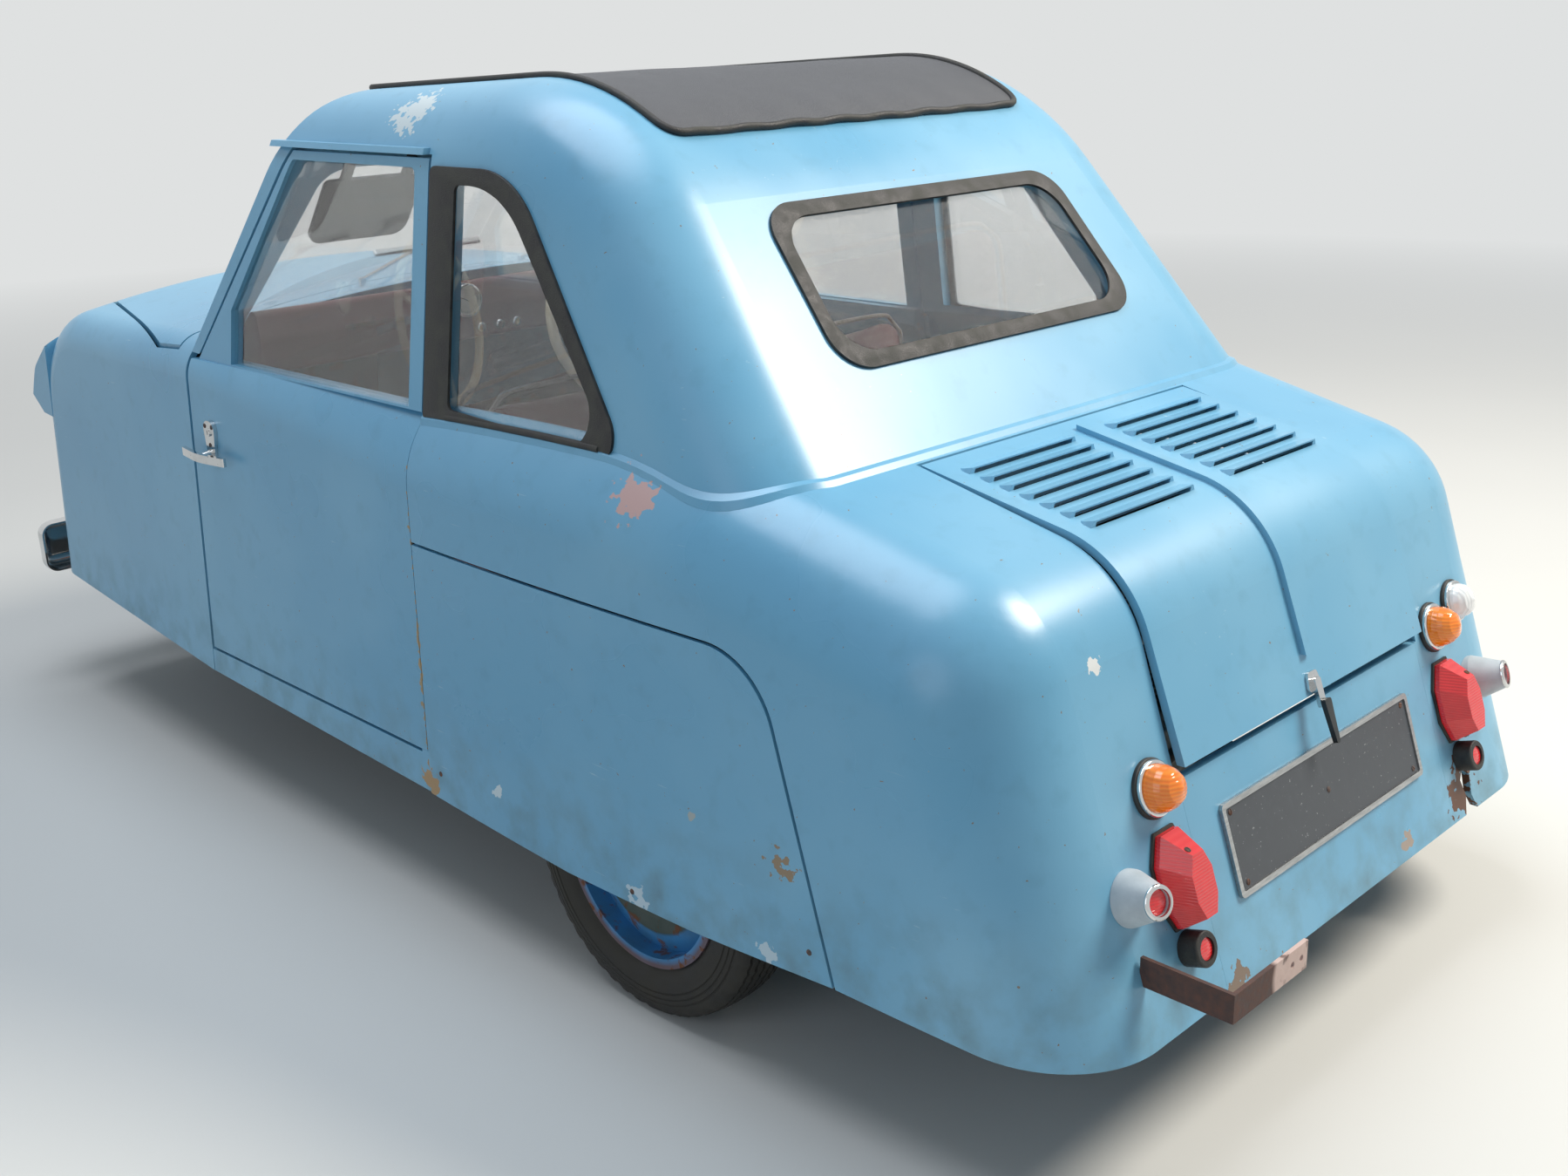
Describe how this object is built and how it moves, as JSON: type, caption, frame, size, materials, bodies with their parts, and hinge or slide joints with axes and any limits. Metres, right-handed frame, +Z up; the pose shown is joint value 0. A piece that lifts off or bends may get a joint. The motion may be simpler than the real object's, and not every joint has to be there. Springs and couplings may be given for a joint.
{
  "type": "three wheeled car",
  "caption": "Compact microcar with a single steered front wheel, slab-sided body, rear-hinged doors, fabric roof and a louvred rear engine lid.",
  "frame": {"origin": "centre of the bounding box on the ground between the three wheels", "axes": "+X to the car's left, +Y to its tail, +Z up; the car drives towards -Y"},
  "size_m": [1.3966, 3.124, 1.3784],
  "materials": {
    "body_paint": "semi-gloss, weathered",
    "frame_black": "dull",
    "plate_black": "dull",
    "roof_vinyl": "grained",
    "window_glass": "clear",
    "black_rubber": "dull",
    "dash_maroon": "semi-gloss",
    "seat_maroon": "grained",
    "engine_alloy": "cast",
    "bright_metal": "polished",
    "lamp_glass": "clear",
    "amber_plastic": "gloss",
    "red_plastic": "gloss",
    "clear_plastic": "gloss",
    "rusty_steel": "rusty",
    "tyre_rubber": "dull",
    "rim_paint": "semi-gloss",
    "grey_plastic": "gloss",
    "bright_alloy": "satin",
    "visor_grey": "dull",
    "ivory_plastic": "gloss"
  },
  "bodies": {
    "car_body": {"chassis": "frame_black", "floor_pan": "frame_black", "front_wings": "body_paint", "cab_shell": "body_paint", "rear_shell": "body_paint", "side_panel_left": "body_paint", "side_panel_right": "body_paint", "tail_panel": "body_paint", "number_plate": "plate_black", "soft_roof": "roof_vinyl", "windscreen": "window_glass", "rear_window": "window_glass", "quarter_windows": "window_glass", "window_rubbers": "black_rubber", "rear_bulkhead": "frame_black", "dashboard": "dash_maroon", "seat_cushion": "seat_maroon", "seat_back": "seat_maroon", "engine_block": "engine_alloy", "rear_arms": "frame_black", "rear_springs": "frame_black", "headlamps": "bright_metal", "headlamp_lenses": "lamp_glass", "amber_lamps": "amber_plastic", "tail_lamps": "red_plastic", "rear_reflectors": "red_plastic", "reversing_lamp": "clear_plastic", "front_bumper": "bright_metal", "bumper_bracket": "rusty_steel", "steering_column": "frame_black", "sills": "body_paint", "lamp_bases": "black_rubber", "lamp_rings": "bright_metal", "reflector_housings": "grey_plastic", "plate_frame": "bright_alloy", "dash_fittings": "bright_metal", "sun_visor": "visor_grey", "wipers": "bright_alloy"},
    "left_door": {"door_left": "body_paint", "door_glass_left": "window_glass", "door_handle_left": "bright_metal"},
    "right_door": {"door_right": "body_paint", "door_glass_right": "window_glass", "door_handle_right": "bright_metal"},
    "rear_lid": {"engine_lid": "body_paint", "lid_catch": "bright_metal", "catch_lever": "frame_black"},
    "front_lid": {"bonnet": "body_paint"},
    "steering_fork": {"front_fork": "frame_black"},
    "front_wheel": {"front_tyre": "tyre_rubber", "front_rim": "rim_paint"},
    "rear_left_wheel": {"rear_left_tyre": "tyre_rubber", "rear_left_rim": "rim_paint"},
    "rear_right_wheel": {"rear_right_tyre": "tyre_rubber", "rear_right_rim": "rim_paint"},
    "hand_wheel": {"steering_wheel": "ivory_plastic"}
  },
  "joints": [
    {"name": "left_door_hinge", "type": "hinge", "parent": "car_body", "child": "left_door", "pos_m": [0.684, 0.126, 0.55], "axis": [0, 0, 1], "range_deg": [0, 68]},
    {"name": "right_door_hinge", "type": "hinge", "parent": "car_body", "child": "right_door", "pos_m": [-0.684, 0.126, 0.55], "axis": [0, 0, -1], "range_deg": [0, 68]},
    {"name": "rear_lid_hinge", "type": "hinge", "parent": "car_body", "child": "rear_lid", "pos_m": [0, 0.9295, 0.8452], "axis": [1, 0, 0], "range_deg": [-2, 58]},
    {"name": "front_lid_hinge", "type": "hinge", "parent": "car_body", "child": "front_lid", "pos_m": [0, -0.7085, 0.958], "axis": [-1, 0, 0], "range_deg": [0, 50]},
    {"name": "steering", "type": "hinge", "parent": "car_body", "child": "steering_fork", "pos_m": [0, -1.206, 0.6], "axis": [0, 0, 1], "range_deg": [-32, 32]},
    {"name": "front_wheel_spin", "type": "hinge", "parent": "steering_fork", "child": "front_wheel", "pos_m": [0, -1.176, 0.25], "axis": [1, 0, 0], "continuous": true},
    {"name": "rear_left_wheel_spin", "type": "hinge", "parent": "car_body", "child": "rear_left_wheel", "pos_m": [0.623, 0.653, 0.25], "axis": [1, 0, 0], "continuous": true},
    {"name": "rear_right_wheel_spin", "type": "hinge", "parent": "car_body", "child": "rear_right_wheel", "pos_m": [-0.623, 0.653, 0.25], "axis": [1, 0, 0], "continuous": true},
    {"name": "hand_wheel_turn", "type": "hinge", "parent": "car_body", "child": "hand_wheel", "pos_m": [-0.235, -0.43, 0.83], "axis": [0, 0.9511, 0.309], "range_deg": [-260, 260]}
  ],
  "couplings": [
    {"joint": "hand_wheel_turn", "follows": "steering", "ratio": 8}
  ]
}
